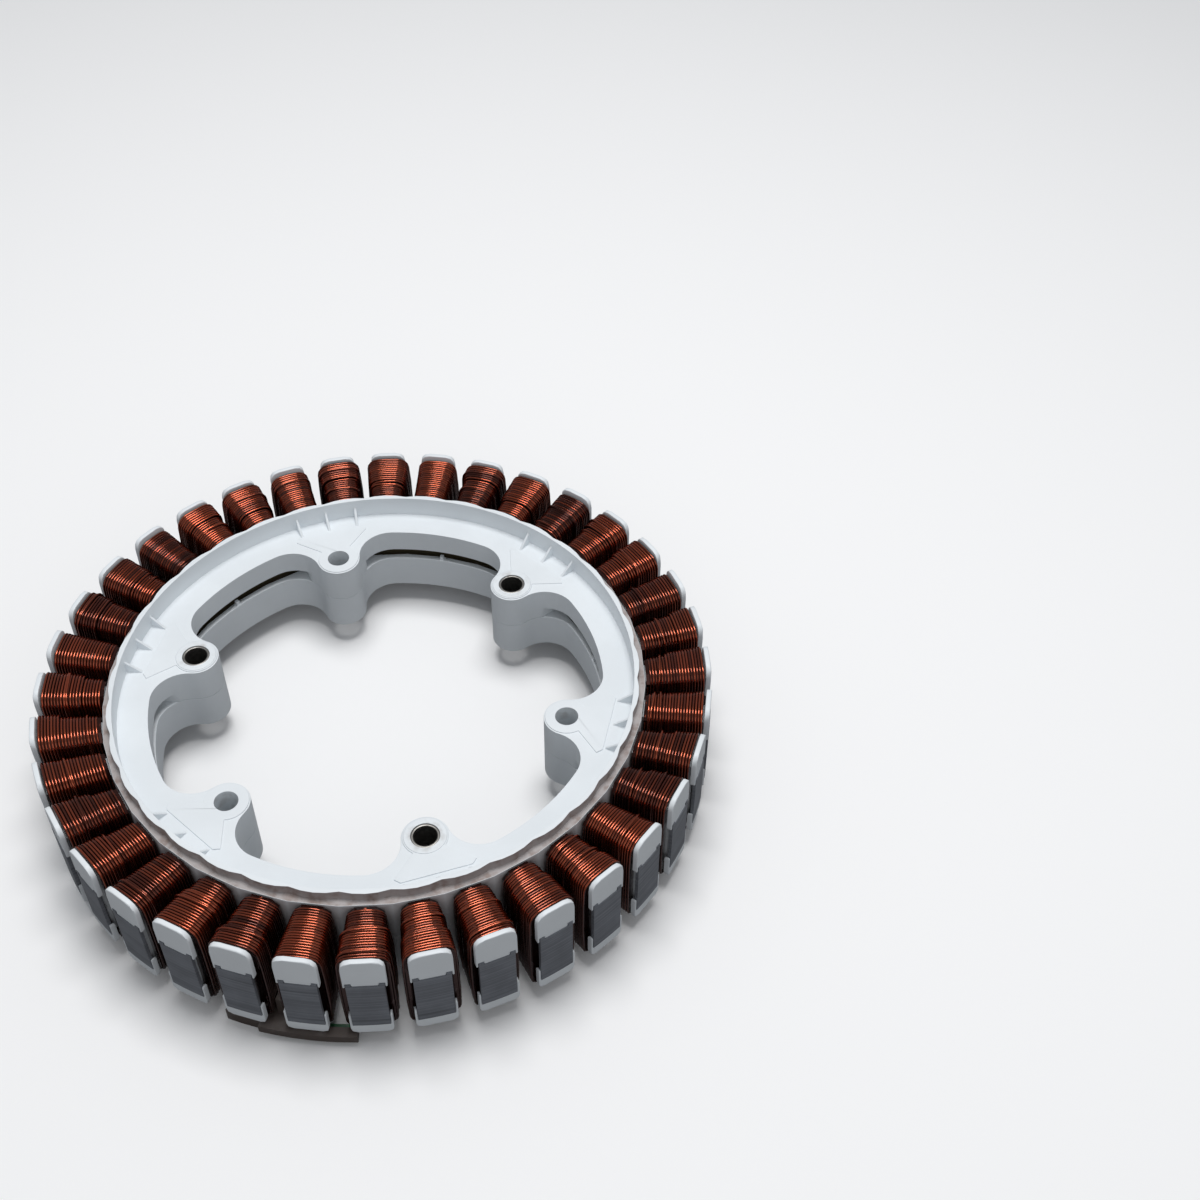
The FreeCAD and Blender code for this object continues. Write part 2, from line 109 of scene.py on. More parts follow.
class WindingSettings(bpy.types.PropertyGroup):
    wire_diameter: length("Wire diameter", "Outside of the enamel", 0.00104)
    wire_pitch: length("Pitch", "Distance between neighbouring turns", 0.0011)
    unevenness: length("Unevenness", "How far a turn may stray from its place", 0.00006)
    shoulder_drop: length("Shoulder drop", "How far the first turns dip beside the ring", 0.0009)
    crossing_lift: length("Crossing lift", "How far a crossing wire stands over the layer", 0.00055)
    flank_shade_amount: FloatProperty(
        name="Painted flank shade", description="How much painted shade darkens the wire down a coil's sides",
        default=0.75, min=0, max=1, subtype="FACTOR")
    corner_radius: length("Corner radius", "Bend of the wire over the tooth's corners", 0.0046)
    notch_offset: length("Notch offset", "Distance of the wire notch from the middle of its tooth", 0.0052)
    track_radius: length("Track radius", "Circle on which the crossover wires run", 0.1022)
    dark_enamel: colour("Dark enamel", "Painted shade in the grooves and wire on dull coils", (0.05, 0.009, 0.0045))
    bright_enamel: colour("Bright enamel", "Wire on the brightest coils", (0.4, 0.078, 0.03))
    seed: IntProperty(name="Seed", description="Another number winds the coils another way", default=4, min=1)


class MouldingSettings(bpy.types.PropertyGroup):
    cap_edge: length("Cap edge", "Rounding of the caps over the teeth", 0.00055)
    plain_edge: length("Plain edge", "Rounding of all the other edges", 0.00022)
    seam_edge: length("Seam edge", "Rounding where the two mouldings meet", 0.0004)
    cap_half: length("Cap half width", "Half the width of a cap in the construction", 0.0082)
    tip_half: length("Tip half width", "Half the width between the legs of a cap", 0.0068)
    leg_end: length("Leg end", "Height at which the upper caps' legs end in the construction", 0.0235)
    gusset_top: length("Gusset top", "Height of the gussets' tops in the construction", 0.04)
    slot_ceiling: length("Slot ceiling", "Height of the long slots' upper edge in the construction", 0.0225)
    cap_narrowing: length("Cap narrowing", "Taken off each side of a cap", 0.00055)
    leg_trim: length("Leg trim", "Taken off the legs of the upper caps", 0.0026)
    gusset_trim: length("Gusset trim", "Taken off the height of the gussets", 0.0032)
    slot_trim: length("Slot trim", "Taken off the height of the long slots", 0.0013)
    white: colour("White", "Colour of both insulators", (0.79, 0.83, 0.86))
    brown: colour("Brown", "Colour of the sensor's housing", (0.075, 0.058, 0.05))
    black: colour("Black", "Colour of the sensor's chips", (0.02, 0.02, 0.021))
    grime_and_bore_shade: colour("Grime and bore shade", "Dirt round the sleeves and painted shade in the plain bores", (0.36, 0.33, 0.3))
    shade_and_copper_reflection: colour("Shade and copper reflection", "Painted shade and copper reflection on the ring's wall behind the coils", (0.22, 0.15, 0.125))


class SteelSettings(bpy.types.PropertyGroup):
    lamination: colour("Laminations", "Cut edges of the stacked sheets", (0.2, 0.213, 0.24))
    lamination_pitch: length("Sheet thickness", "Thickness of one lamination", 0.0005)
    bore: colour("Bore", "Painted light on the stack's inner face, seen through the slots", (0.2, 0.165, 0.1))
    bore_radius: length("Bore radius", "Inside this circle the stack shows its inner face", 0.0985)
    sleeve: colour("Sleeve", "Turned steel", (0.27, 0.26, 0.245))
    sleeve_edge: length("Sleeve edge", "Chamfer of the steel sleeves", 0.0004)


class StageSettings(bpy.types.PropertyGroup):
    camera_place: FloatVectorProperty(
        name="Camera", description="Where the camera stands",
        default=(-0.05025, -0.41143, 0.49482), size=3, subtype="TRANSLATION")
    camera_forward: FloatVectorProperty(
        name="Forward", description="Direction in which the camera looks",
        default=(0.22981, 0.66185, -0.71354), size=3, subtype="DIRECTION")
    camera_right: FloatVectorProperty(
        name="Right", description="Direction of the picture's right side",
        default=(0.94792, -0.31834, 0.01002), size=3, subtype="DIRECTION")
    lens: FloatProperty(
        name="Lens", description="Focal length on a 36 mm sensor",
        default=46.43, subtype="DISTANCE_CAMERA")
    floor: colour("Floor", "Pale floor under the part, as the camera sees it", (0.96, 0.96, 0.963))
    lit_floor: colour("Lit floor", "Floor as the light meets it, darker", (0.26, 0.26, 0.265))


class Value:
    """A shader socket that can be used in a Python expression."""

    def __init__(self, finish, socket):
        self.finish = finish
        self.socket = socket

    def maths(self, operation, first, second):
        return self.finish.add("ShaderNodeMath", {"operation": operation}, first, second)

    def __add__(self, other):
        return self.maths("ADD", self, other)

    def __sub__(self, other):
        return self.maths("SUBTRACT", self, other)

    def __rsub__(self, other):
        return self.maths("SUBTRACT", other, self)

    def __mul__(self, other):
        return self.maths("MULTIPLY", self, other)

    __radd__ = __add__
    __rmul__ = __mul__


class Finish:
    """A material under construction: one Principled surface and the nodes that feed it."""

    def __init__(self, name, **constants):
        self.material = bpy.data.materials.new(name)
        self.material.use_nodes = True
        self.nodes = self.material.node_tree.nodes
        self.links = self.material.node_tree.links
        self.surface = self.nodes["Principled BSDF"]
        for socket, value in constants.items():
            self.surface.inputs[socket.replace("_", " ")].default_value = value

    def add(self, kind, settings=None, *inputs, output=0, **named):
        """Add a node, set it up, feed its sockets and give back one of its outputs."""
        node = self.nodes.new(kind)
        for name, value in (settings or {}).items():
            setattr(node, name, value)
        for key, value in list(enumerate(inputs)) + list(named.items()):
            socket = node.inputs[key.replace("_", " ") if isinstance(key, str) else key]
            if isinstance(value, Value):
                self.links.new(value.socket, socket)
            elif value is not None:
                socket.default_value = value
        return Value(self, node.outputs[output])

    def feed(self, **sockets):
        """Link values to sockets of the surface and give back the finished material."""
        for name, value in sockets.items():
            self.links.new(value.socket, self.surface.inputs[name.replace("_", " ")])
        return self.material

    def place(self, scale=(1, 1, 1)):
        """Object coordinates in metres, stretched by a scale along each axis."""
        here = self.add("ShaderNodeTexCoord", output="Object")
        return self.add("ShaderNodeMapping", None, here, Scale=scale)

    def speckle(self, scale, detail=2.0, where=None):
        """Noise around one half, at a scale in repeats to the metre."""
        return self.add("ShaderNodeTexNoise", None, Vector=where or self.place(), Scale=scale, Detail=detail)

    def smooth(self, value, low, high):
        """Nought below low, one above high, and a soft step between."""
        return self.add("ShaderNodeMapRange", {"interpolation_type": "SMOOTHSTEP"}, value, low, high)

    def blend(self, factor, first, second):
        """A colour between two, each given as three numbers or as a link."""
        node = self.add("ShaderNodeMix", {"data_type": "RGBA"}, factor, output=2)
        for socket, value in ((6, first), (7, second)):
            if isinstance(value, Value):
                self.links.new(value.socket, node.socket.node.inputs[socket])
            else:
                node.socket.node.inputs[socket].default_value = (*value, 1)
        return node

    def bumps(self, height, strength, distance):
        return self.add("ShaderNodeBump", None, strength, distance, Height=height)


def shaded(base, factor):
    """A colour made darker or brighter by a factor."""
    return [channel * factor for channel in base]


def enamelled_wire():
    """Copper seen through glossy red-brown enamel, with painted shade in the grooves and down the coils'
    sides.
    """
    look = bpy.context.scene.stator_winding
    finish = Finish("enamelled_copper", Metallic=0.92, Roughness=0.22, Coat_Weight=0.5, Coat_Roughness=0.1)
    # Painted shade: each turn's random tone is darkened in the grooves between turns and down the coils'
    # sides.
    tone_and_shade = finish.add("ShaderNodeAttribute", {"attribute_name": "tone_and_shade"}, output="Fac")
    mottle = finish.speckle(900.0, 3.0)
    amount = finish.smooth(tone_and_shade + (mottle - 0.5) * 0.2, 0.0, 1.0)
    body = finish.blend(amount, look.dark_enamel, look.bright_enamel)
    rough = 0.12 + 0.12 * mottle
    return finish.feed(Base_Color=body, Roughness=rough)


def white_moulding():
    """Satin glass-filled plastic with faint flow marks, grime round the bolts, painted shade inside the plain
    bores and painted shade and copper reflection on the ring's wall behind the coils.
    """
    look = bpy.context.scene.stator_moulding
    finish = Finish("white_moulding", Roughness=0.46, Specular_IOR_Level=0.4)
    flow = finish.speckle(38.0, 4.0)
    grain = finish.speckle(1500.0, 2.0)
    body = finish.blend(finish.smooth(flow, 0.35, 0.68), shaded(look.white, 0.955), look.white)
    # Grime round the sleeves is real dirt; the same colour inside the plain bores is painted shade.
    dirt_and_bore_shade = finish.add("ShaderNodeAttribute", {"attribute_name": "grime_and_bore_shade"}, output="Fac")
    patchy = finish.smooth(finish.speckle(260.0, 5.0), 0.42, 0.72)
    soiled_and_shaded = finish.blend(dirt_and_bore_shade * patchy, body, look.grime_and_bore_shade)
    # Painted shade and copper reflection: the ring's wall behind the coils turns brown.
    shade_and_copper_reflection = finish.add("ShaderNodeAttribute", {"attribute_name": "shade_and_copper_reflection"}, output="Fac")
    tinged = finish.blend(shade_and_copper_reflection * (0.7 + 0.3 * patchy), soiled_and_shaded, look.shade_and_copper_reflection)
    bump = finish.bumps(grain, 0.08, 0.0002)
    return finish.feed(Base_Color=tinged, Roughness=0.38 + 0.16 * flow, Normal=bump)


def lamination_stack():
    """Cut edges of thin sheets: fine lines round the stack, some darker, dull scale and painted light on the
    bore seen through the slots.
    """
    look = bpy.context.scene.stator_steel
    finish = Finish("laminations", Metallic=0.35, Roughness=0.5)
    layers = finish.speckle(1.0, 3.0, finish.place((6.0, 6.0, 1.0 / look.lamination_pitch)))
    wide = finish.speckle(1.0, 2.0, finish.place((10.0, 10.0, 420.0)))
    patches = finish.speckle(120.0, 3.0)
    sheen = finish.smooth(layers + (patches - 0.5) * 0.5, 0.3, 0.72)
    body = finish.blend(sheen, shaded(look.lamination, 0.8), shaded(look.lamination, 1.2))
    lined = finish.blend(finish.smooth(wide, 0.62, 0.74), body, shaded(look.lamination, 0.6))
    radius = finish.add("ShaderNodeVectorMath", {"operation": "LENGTH"}, finish.place((1, 1, 0)), output=1)
    fade = 0.0005
    # Painted light: inside the bore radius the stack takes a flat warm colour for the light that falls in
    # through the slots.
    outside = finish.smooth(radius, look.bore_radius, look.bore_radius + fade)
    steel = finish.blend(outside, look.bore, lined)
    bump = finish.bumps(layers, 0.2, 0.0002)
    return finish.feed(Base_Color=steel, Roughness=0.42 + 0.2 * patches, Normal=bump)


def turned_steel():
    """Machined steel with fine rings and a little tarnish."""
    look = bpy.context.scene.stator_steel
    finish = Finish("sleeve_steel", Metallic=0.95, Roughness=0.38)
    tarnish = finish.speckle(420.0, 4.0)
    rings = finish.speckle(1.0, 2.0, finish.place((300.0, 300.0, 5200.0)))
    body = finish.blend(finish.smooth(tarnish, 0.4, 0.75), look.sleeve, shaded(look.sleeve, 0.6))
    bump = finish.bumps(rings, 0.2, 0.0001)
    return finish.feed(Base_Color=body, Roughness=0.33 + 0.2 * tarnish, Normal=bump)


def plain_moulding(name, body_colour, rough=0.5):
    """Dark moulded plastic with a fine spark-eroded skin and dust in its hollows."""
    finish = Finish(name, Roughness=rough)
    grain = finish.speckle(2400.0, 2.0)
    dust = finish.smooth(finish.speckle(90.0, 4.0), 0.45, 0.75)
    dusty = [channel + 0.06 for channel in body_colour]
    body = finish.blend(dust, body_colour, dusty)
    bump = finish.bumps(grain, 0.15, 0.0002)
    return finish.feed(Base_Color=body, Roughness=rough - 0.06 + 0.14 * grain, Normal=bump)


def solder_mask():
    """Green lacquer with tracks that show through as a paler weave."""
    lacquer = (0.012, 0.09, 0.035)
    over_copper = (0.03, 0.17, 0.07)
    finish = Finish("circuit_board", Roughness=0.3, Coat_Weight=0.4)
    weave = finish.speckle(2600.0, 1.0)
    tracks = finish.smooth(finish.speckle(420.0, 0.0), 0.52, 0.55)
    body = finish.blend(tracks, lacquer, over_copper)
    bump = finish.bumps(tracks, 0.3, 0.0001)
    return finish.feed(Base_Color=body, Roughness=0.25 + 0.1 * weave, Normal=bump)


def tinned_metal():
    """Tin plate over brass, worn through in places."""
    tin = (0.66, 0.65, 0.62)
    brass = (0.6, 0.44, 0.2)
    finish = Finish("tinned_brass", Metallic=1.0, Roughness=0.35)
    wear = finish.speckle(600.0, 4.0)
    body = finish.blend(finish.smooth(wear, 0.55, 0.75), tin, brass)
    return finish.feed(Base_Color=body, Roughness=0.28 + 0.2 * wear)


def pale_floor():
    """Matt floor that stays pale to the camera and throws less light back up."""
    look = bpy.context.scene.stator_stage
    finish = Finish("pale_floor", Roughness=0.9, Specular_IOR_Level=0.0)
    seen = finish.add("ShaderNodeLightPath", output="Is Camera Ray")
    bright = finish.speckle(3.0, 2.0)
    body = finish.blend(bright * 0.1, look.floor, shaded(look.floor, 0.96))
    return finish.feed(Base_Color=finish.blend(seen, look.lit_floor, body))


def deselect():
    for other in bpy.context.selected_objects:
        other.select_set(False)


def make_active(piece):
    """Select one piece alone, for the operators that follow."""
    deselect()
    piece.hide_viewport = False
    piece.select_set(True)
    bpy.context.view_layer.objects.active = piece


def merged_copy(node, name):
    """A closed copy of a construction node, with the corners of its triangles merged."""
    piece = frame["nodes"][node].copy()
    piece.data = piece.data.copy()
    piece.name = piece.data.name = name
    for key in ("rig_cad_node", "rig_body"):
        del piece[key]
    piece.parent = None
    bpy.context.scene.collection.objects.link(piece)
    make_active(piece)
    bpy.ops.object.mode_set(mode="EDIT")
    bpy.ops.mesh.select_all(action="SELECT")
    bpy.ops.mesh.remove_doubles(threshold=0.000004)
    bpy.ops.mesh.customdata_custom_splitnormals_clear()
    bpy.ops.object.mode_set(mode="OBJECT")
    return piece


def finished(piece, material, slot, *nodes):
    """Give a piece its finish, hide the nodes it is made after and fix it to the part."""
    piece.data.materials.clear()
    piece.data.materials.append(material)
    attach(piece, "root")
    if nodes:
        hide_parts(*nodes)


def cover(node, material):
    """Give a construction node a finish and leave its shape alone."""
    piece = frame["nodes"][node]
    piece.data.materials.clear()
    piece.data.materials.append(material)


def rounded(piece, width, weight=None):
    """Round the sharp edges of a piece, each by its share of the width."""
    sharp = math.radians(38.0)
    weights = piece.data.attributes.new("bevel_weight_edge", "FLOAT", "EDGE")
    mesh = bmesh.new()
    mesh.from_mesh(piece.data)
    values = [0.0] * len(mesh.edges)
    for edge in mesh.edges:
        if edge.is_manifold and edge.calc_face_angle() > sharp:
            values[edge.index] = weight((edge.verts[0].co + edge.verts[1].co) / 2) if weight else 1.0
    mesh.free()
    weights.data.foreach_set("value", values)
    bevel = piece.modifiers.new("Edges", "BEVEL")
    bevel.width = width
    bevel.segments = 2
    bevel.limit_method = "WEIGHT"
    bevel.use_clamp_overlap = False
    make_active(piece)
    bpy.ops.object.modifier_apply(modifier=bevel.name)
    bpy.ops.object.shade_smooth_by_angle(angle=sharp)
    flat = piece.modifiers.new("Flat faces", "WEIGHTED_NORMAL")
    flat.keep_sharp = True
    bpy.ops.object.modifier_apply(modifier=flat.name)


def coil_nodes():
    return sorted(name for name in frame["nodes"] if name.startswith("coil_"))


def sleeve_nodes():
    return [name for name in frame["nodes"] if name.startswith("bolt_sleeve")]


def node_angle(node):
    """Direction in which a node lies from the axis, in degrees."""
    middle = sum((vertex.co for vertex in frame["nodes"][node].data.vertices), Vector())
    return math.degrees(math.atan2(middle.y, middle.x))


def turned_to(angle):
    return Matrix.Rotation(math.radians(angle), 3, "Z")


class CoilForm:
    """Outline of one coil in the construction: along x from the ring, half of it across y, and z up."""

    TOLERANCE = 1e-4

    def __init__(self, node):
        self.angle = node_angle(node)
        upright = turned_to(-self.angle)
        corners = [upright @ vertex.co for vertex in frame["nodes"][node].data.vertices]
        self.start = min(corner.x for corner in corners)
        self.end = max(corner.x for corner in corners)
        self.first = self.section(corners, self.start)
        self.last = self.section(corners, self.end)
        between = [corner for corner in corners
                   if self.start + self.TOLERANCE < corner.x < self.end - self.TOLERANCE]
        self.step_place = (between[0].x - self.start) / (self.end - self.start) if between else 0.0
        tops = sorted({round(corner.z, 5) for corner in between})[-2:]
        self.step = tops[1] - tops[0] if between else 0.0

    def section(self, corners, x):
        """Half width, top and bottom of the outline at one of its ends."""
        here = [corner for corner in corners if abs(corner.x - x) < self.TOLERANCE]
        heights = [corner.z for corner in here]
        return max(corner.y for corner in here), max(heights), min(heights)

    def at(self, along, inset):
        """Half width, top and bottom at a share of the length, drawn in by an inset."""
        layer = self.step * smooth_step(along, self.step_place - 0.02, self.step_place + 0.03)
        half, high, low = [first + (last - first) * along
                           for first, last in zip(self.first, self.bare_last())]
        return half + layer - inset, high + layer - inset, low + inset

    def outward(self, along, y, z):
        """Direction out of the coil at a point of its outline."""
        half, high, low = self.at(along, 0.0)
        flat = half * 0.6
        middle = (high + low) / 2
        tall = (high - low) / 2 - half + flat
        sideways = y - min(max(y, -flat), flat)
        upwards = z - min(max(z, middle - tall), middle + tall)
        return Vector((0, sideways, upwards)).normalized()

    def bare_last(self):
        """Section at the far end without the second layer's step."""
        half, high, low = self.last
        return half - self.step, high - self.step, low


def smooth_step(value, low, high):
    """Nought below low, one above high, and a soft step between."""
    part = min(max((value - low) / (high - low), 0.0), 1.0)
    return part * part * (3 - 2 * part)


def turn_points(half, high, low, corner):
    """One turn across a tooth in y and z, from the middle of its underside round to it again."""
    lower_corner = corner * 0.6
    bow = 0.00035
    points = [(0.0, low)]
    for step in range(4):
        turn = math.radians(30.0 * step)
        points.append((half - lower_corner + lower_corner * math.sin(turn),
                       low + lower_corner - lower_corner * math.cos(turn)))
    for part in (0.3, 0.7):
        points.append((half + bow, low + (high - low) * part))
    for step in range(5):
        turn = math.radians(22.5 * step)
        points.append((half - corner + corner * math.cos(turn), high - corner + corner * math.sin(turn)))
    mirrored = [(-y, z) for y, z in reversed(points[1:])]
    return points + [(0.0, high + bow * 0.5)] + mirrored


def wound_wire(form, look, dice):
    """Centre line of the wire of one coil, how bright each of its points is, with painted shade down the
    coil's sides, and which way is out.
    """
    shoulder_end = 0.09
    flank_start, flank_end = 0.004, 0.011
    radius = look.wire_diameter / 2
    room = form.end - form.start - look.wire_diameter
    turns = int(room / look.wire_pitch)
    pitch = room / turns
    count = len(turn_points(*form.at(0.0, radius), look.corner_radius))
    shift = Vector((dice.uniform(0, 90), dice.uniform(0, 90), dice.uniform(0, 90)))
    path, tones_and_shade, outward = [], [], []
    for number in range(turns):
        bright = dice.uniform(0.35, 0.95)
        lift = dice.uniform(-0.5, 1.0) * look.unevenness
        for place in range(count):
            progress = number + place / count
            along = progress / turns
            half, high, low = form.at(along, radius)
            drop = look.shoulder_drop * (1 - smooth_step(along, 0.0, shoulder_end))
            y, z = turn_points(half - drop * 0.6, high - drop, low, look.corner_radius)[place]
            sample = Vector((number * 2.7, place * 0.22, 0)) + shift
            stray = noise.noise_vector(sample) * look.unevenness * 1.6
            away = form.outward(along, y, z)
            x = form.start + radius + progress * pitch + stray.x * 0.7
            path.append(Vector((x, y, z)) + away * (lift + stray.y))
            # Painted shade: the wire darkens down the coil's sides, where the neighbouring coils shade it.
            flank_shade = look.flank_shade_amount * smooth_step(high - z, flank_start, flank_end)
            tones_and_shade.append(bright * (1 - flank_shade))
            outward.append(away)
    return path, tones_and_shade, outward


def crossing_wire(form, look, dice):
    """A wire that comes off its layer and crosses the turns beneath it."""
    radius = look.wire_diameter / 2
    middle = dice.uniform(0.15, 0.9)
    slant = dice.choice((-1, 1)) * dice.uniform(0.8, 2.2) * look.wire_pitch
    half, high, low = form.at(middle, radius)
    lifted = look.crossing_lift
    loop = turn_points(half + lifted, high + lifted, low, look.corner_radius)
    last = len(loop) - 1
    path = []
    for place, (y, z) in enumerate(loop):
        ease = math.sin(math.pi * place / last) ** 0.6
        x = form.start + (form.end - form.start) * middle + slant * (place / last - 0.5) * 2
        inward = (1 - ease) * lifted * 1.5
        within = min(max(x, form.start + radius), form.end - radius)
        path.append(Vector((within, y * (1 - inward / half), z - inward)))
    tones_and_shade = [dice.uniform(0.5, 1.0)] * len(loop)
    return path, tones_and_shade, [form.outward(middle, y, z) for y, z in loop]


def drawn_wire(name, runs, diameter):
    """A mesh of round wire along each run of points, bright on its outer side and with painted shade in the
    grooves.
    """
    groove, crown = 0.18, 0.97
    curve = bpy.data.curves.new(name, "CURVE")
    curve.dimensions = "3D"
    curve.bevel_depth = diameter / 2
    curve.bevel_resolution = 2
    for path, _, _ in runs:
        spline = curve.splines.new("POLY")
        spline.points.add(len(path) - 1)
        spline.points.foreach_set("co", [number for point in path for number in (*point, 1.0)])
        spline.points.foreach_set("radius", [1.0] * len(path))
    wire = bpy.data.objects.new(name, curve)
    bpy.context.scene.collection.objects.link(wire)
    make_active(wire)
    bpy.ops.object.convert(target="MESH")
    wire = bpy.context.object
    points = [point for run in runs for point in zip(*run)]
    sides = len(wire.data.vertices) // len(points)
    values = []
    for number, vertex in enumerate(wire.data.vertices):
        centre, bright, away = points[number // sides]
        facing = (vertex.co - centre).normalized().dot(away)
        # Painted shade: the wire darkens where it turns into the grooves between turns.
        values.append(bright * smooth_step(facing, groove, crown))
    wire.data.attributes.new("tone_and_shade", "FLOAT", "POINT").data.foreach_set("value", values)
    bpy.ops.object.mode_set(mode="EDIT")
    bpy.ops.mesh.select_all(action="SELECT")
    bpy.ops.mesh.fill_holes(sides=0)
    bpy.ops.object.mode_set(mode="OBJECT")
    bpy.ops.object.shade_smooth()
    return wire


def coil_heart(node, inset):
    """The layers under the outer one: the coil's own outline, drawn in by an inset."""
    heart = merged_copy(node, "heart")
    bpy.ops.object.mode_set(mode="EDIT")
    bpy.ops.mesh.select_all(action="SELECT")
    bpy.ops.transform.shrink_fatten(value=-inset, use_even_offset=True)
    bpy.ops.object.mode_set(mode="OBJECT")
    # Painted shade: the layers under the outer one take the darkest enamel, seen only through the gaps
    # between turns.
    tone_and_shade = heart.data.attributes.new("tone_and_shade", "FLOAT", "POINT")
    tone_and_shade.data.foreach_set("value", [0.0] * len(heart.data.vertices))
    return heart


def joined(pieces, name):
    deselect()
    for piece in pieces:
        piece.select_set(True)
    bpy.context.view_layer.objects.active = pieces[0]
    bpy.ops.object.join()
    piece = bpy.context.object
    piece.name = piece.data.name = name
    return piece


class STATOR_OT_wind_coils(bpy.types.Operator):
    """Wind the round wire of every coil over the layers beneath it"""
    bl_idname = "stator.wind_coils"
    bl_label = "Wind the coils"

    def execute(self, context):
        look = context.scene.stator_winding
        material = enamelled_wire()
        dice = random.Random(look.seed)
        noise.seed_set(look.seed)
        for node in coil_nodes():
            form = CoilForm(node)
            tone_shift = dice.uniform(-0.35, 0.2)
            runs = [wound_wire(form, look, dice)]
            runs += [crossing_wire(form, look, dice) for _ in range(dice.choice((0, 1, 1, 2)))]
            runs = [self.in_place(run, form.angle, tone_shift) for run in runs]
            wire = drawn_wire("wire", runs, look.wire_diameter)
            heart = coil_heart(node, look.wire_diameter * 0.6)
            coil = joined([wire, heart], node.replace("coil", "winding"))
            finished(coil, material, "enamelled_copper", node)
        return {"FINISHED"}

    def in_place(self, run, angle, tone_shift):
        """Turn a run to its coil's place in the ring and shift its tones to the coil's own."""
        path, tones_and_shade, outward = run
        standing = turned_to(angle)
        tones_and_shade = [max(tone_and_shade + tone_shift, 0.1) for tone_and_shade in tones_and_shade]
        return [standing @ point for point in path], tones_and_shade, [standing @ away for away in outward]


class STATOR_OT_lay_crossovers(bpy.types.Operator):
    """Lay the round wires that join the coils of each phase under the ring"""
    bl_idname = "stator.lay_crossovers"
    bl_label = "Lay the crossover wires"

    def execute(self, context):
        look = context.scene.stator_winding
        material = bpy.data.materials["enamelled_copper"]
        gap = 0.0002
        for phase in PHASES:
            node = "crossovers_" + phase
            low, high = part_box(node)
            level = (low.z + high.z) / 2
            angles = [CoilForm(name).angle for name in coil_nodes() if name.startswith("coil_" + phase)]
            reach = CoilForm(coil_nodes()[0]).start - gap
            notch = math.degrees(math.asin(look.notch_offset / reach))
            side = math.degrees(look.wire_diameter * 0.55 / reach)
            runs = [self.run(first + notch + side, second + notch - side, level, reach, look)
                    for first, second in zip(angles, angles[1:])]
            wire = drawn_wire("wires_" + phase, runs, look.wire_diameter)
            finished(wire, material, "enamelled_copper", node)
        return {"FINISHED"}

    def run(self, start, end, level, reach, look):
        """One wire: in through a notch, round the track and out through another notch."""
        span = (end - start) % 360
        bend = 1.1
        track = look.track_radius
        before_bend = track + 0.0012
        in_bend = track + 0.0003
        places = [(reach, 0.0), (before_bend, 0.0), (in_bend, bend * 0.3)]
        places += [(track, bend + (span - 2 * bend) * number / 8) for number in range(9)]
        places += [(in_bend, span - bend * 0.3), (before_bend, span), (reach, span)]
        path = [turned_to(start + turn) @ Vector((radius, 0, level)) for radius, turn in places]
        return path, [0.55] * len(path), [Vector((0, 0, -1))] * len(path)


